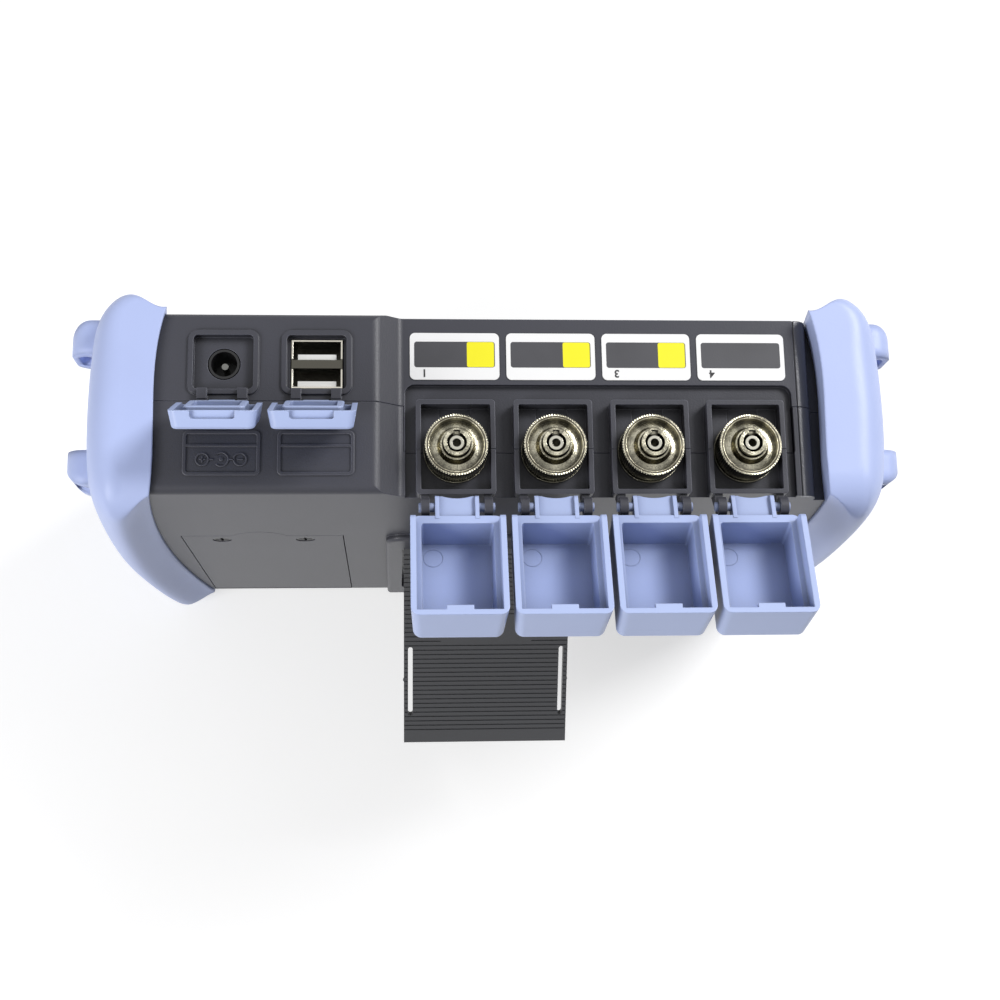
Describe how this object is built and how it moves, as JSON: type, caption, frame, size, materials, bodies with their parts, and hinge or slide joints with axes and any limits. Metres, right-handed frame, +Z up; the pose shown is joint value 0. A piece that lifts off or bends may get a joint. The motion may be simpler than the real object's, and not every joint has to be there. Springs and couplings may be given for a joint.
{
  "type": "optical time domain reflectometer",
  "caption": "Handheld fibre-optic test set with rubber bumpers, hinged port caps over knurled adapter nuts, socket flaps, battery door and folding stand.",
  "frame": {"origin": "centre of the case's underside, on the plane where the front and rear shells part", "axes": "+Z up, the screen faces -Y, the stand and battery door face +Y, +X towards the power socket end"},
  "size_m": [0.253, 0.1252, 0.1924],
  "materials": {
    "graphite_plastic": "fine moulded texture",
    "lavender_rubber": "satin overmould",
    "lavender_plastic": "satin moulding",
    "label_film": "printed film",
    "nickel_silver": "turned and polished",
    "ceramic": "polished",
    "cover_glass": "polished",
    "display": "gloss",
    "black_plastic": "moulded",
    "socket_steel": "stamped",
    "silicone": "matt",
    "key_plastic": "satin",
    "circuit_board": "solder mask",
    "module_case": "sheet",
    "battery_wrap": "film wrap",
    "screw_steel": "blackened"
  },
  "bodies": {
    "case": {"front_shell": "graphite_plastic", "rear_shell": "graphite_plastic", "bumper_socket_end": "lavender_rubber", "bumper_port_end": "lavender_rubber", "screen_glass": "cover_glass", "screen_gasket": "silicone", "lcd_module": "display", "charge_light": "cover_glass", "key_membrane": "silicone", "adapter_1": "nickel_silver", "ferrule_sleeve_1": "ceramic", "adapter_2": "nickel_silver", "ferrule_sleeve_2": "ceramic", "adapter_3": "nickel_silver", "ferrule_sleeve_3": "ceramic", "adapter_4": "nickel_silver", "ferrule_sleeve_4": "ceramic", "port_labels": "label_film", "dc_jack": "black_plastic", "dc_jack_pin": "socket_steel", "usb_shell": "socket_steel", "usb_tongues": "black_plastic", "stand_pin": "screw_steel", "main_board": "circuit_board", "optical_module": "module_case", "battery_pack": "battery_wrap", "case_screws": "screw_steel"},
    "port_cap_1": {"port_cap_1": "lavender_plastic"},
    "adapter_nut_1": {"adapter_nut_1": "nickel_silver"},
    "port_cap_2": {"port_cap_2": "lavender_plastic"},
    "adapter_nut_2": {"adapter_nut_2": "nickel_silver"},
    "port_cap_3": {"port_cap_3": "lavender_plastic"},
    "adapter_nut_3": {"adapter_nut_3": "nickel_silver"},
    "port_cap_4": {"port_cap_4": "lavender_plastic"},
    "adapter_nut_4": {"adapter_nut_4": "nickel_silver"},
    "dc_flap": {"dc_flap": "lavender_plastic"},
    "usb_flap": {"usb_flap": "lavender_plastic"},
    "stand": {"stand": "graphite_plastic"},
    "battery_door": {"battery_door": "graphite_plastic", "door_screws": "screw_steel"},
    "key_power": {"key_power": "key_plastic"},
    "key_menu": {"key_menu": "key_plastic"},
    "key_back": {"key_back": "key_plastic"},
    "key_up": {"key_up": "key_plastic"},
    "key_enter": {"key_enter": "key_plastic"},
    "key_down": {"key_down": "key_plastic"},
    "key_test": {"key_test": "key_plastic"}
  },
  "joints": [
    {"name": "port_cap_1_hinge", "type": "hinge", "parent": "case", "child": "port_cap_1", "pos_m": [0.0109, 0.0319, 0.165], "axis": [1, 0, 0], "range_deg": [0, 162]},
    {"name": "port_cap_2_hinge", "type": "hinge", "parent": "case", "child": "port_cap_2", "pos_m": [-0.0178, 0.0319, 0.165], "axis": [1, 0, 0], "range_deg": [0, 162]},
    {"name": "port_cap_3_hinge", "type": "hinge", "parent": "case", "child": "port_cap_3", "pos_m": [-0.0465, 0.0319, 0.165], "axis": [1, 0, 0], "range_deg": [0, 162]},
    {"name": "port_cap_4_hinge", "type": "hinge", "parent": "case", "child": "port_cap_4", "pos_m": [-0.0752, 0.0319, 0.165], "axis": [1, 0, 0], "range_deg": [0, 162]},
    {"name": "dc_flap_hinge", "type": "hinge", "parent": "case", "child": "dc_flap", "pos_m": [0.0784, 0.0018, 0.1667], "axis": [1, 0, 0], "range_deg": [0, 113]},
    {"name": "usb_flap_hinge", "type": "hinge", "parent": "case", "child": "usb_flap", "pos_m": [0.0514, 0.0018, 0.1667], "axis": [1, 0, 0], "range_deg": [0, 113]},
    {"name": "stand_hinge", "type": "hinge", "parent": "case", "child": "stand", "pos_m": [-0.0022, 0.0278, 0.088], "axis": [-1, 0, 0], "range_deg": [0, 62]},
    {"name": "battery_door_tilt", "type": "hinge", "parent": "case", "child": "battery_door", "pos_m": [0.0716, 0.02645, 0.00395], "axis": [-1, 0, 0], "range_deg": [0, 40]},
    {"name": "adapter_nut_1_turn", "type": "hinge", "parent": "case", "child": "adapter_nut_1", "pos_m": [0.0109, 0.0138, 0.163], "axis": [0, 0, 1], "range_deg": [0, 720]},
    {"name": "adapter_nut_2_turn", "type": "hinge", "parent": "case", "child": "adapter_nut_2", "pos_m": [-0.0178, 0.0138, 0.163], "axis": [0, 0, 1], "range_deg": [0, 720]},
    {"name": "adapter_nut_3_turn", "type": "hinge", "parent": "case", "child": "adapter_nut_3", "pos_m": [-0.0465, 0.0138, 0.163], "axis": [0, 0, 1], "range_deg": [0, 720]},
    {"name": "adapter_nut_4_turn", "type": "hinge", "parent": "case", "child": "adapter_nut_4", "pos_m": [-0.0752, 0.0138, 0.163], "axis": [0, 0, 1], "range_deg": [0, 720]},
    {"name": "key_power_press", "type": "slide", "parent": "case", "child": "key_power", "axis": [0, 1, 0], "range_m": [0, 0.0006], "stiffness_N_per_m": 400},
    {"name": "key_menu_press", "type": "slide", "parent": "case", "child": "key_menu", "axis": [0, 1, 0], "range_m": [0, 0.0006], "stiffness_N_per_m": 400},
    {"name": "key_back_press", "type": "slide", "parent": "case", "child": "key_back", "axis": [0, 1, 0], "range_m": [0, 0.0006], "stiffness_N_per_m": 400},
    {"name": "key_up_press", "type": "slide", "parent": "case", "child": "key_up", "axis": [0, 1, 0], "range_m": [0, 0.0006], "stiffness_N_per_m": 400},
    {"name": "key_enter_press", "type": "slide", "parent": "case", "child": "key_enter", "axis": [0, 1, 0], "range_m": [0, 0.0006], "stiffness_N_per_m": 400},
    {"name": "key_down_press", "type": "slide", "parent": "case", "child": "key_down", "axis": [0, 1, 0], "range_m": [0, 0.0006], "stiffness_N_per_m": 400},
    {"name": "key_test_press", "type": "slide", "parent": "case", "child": "key_test", "axis": [0, 1, 0], "range_m": [0, 0.0006], "stiffness_N_per_m": 400}
  ]
}
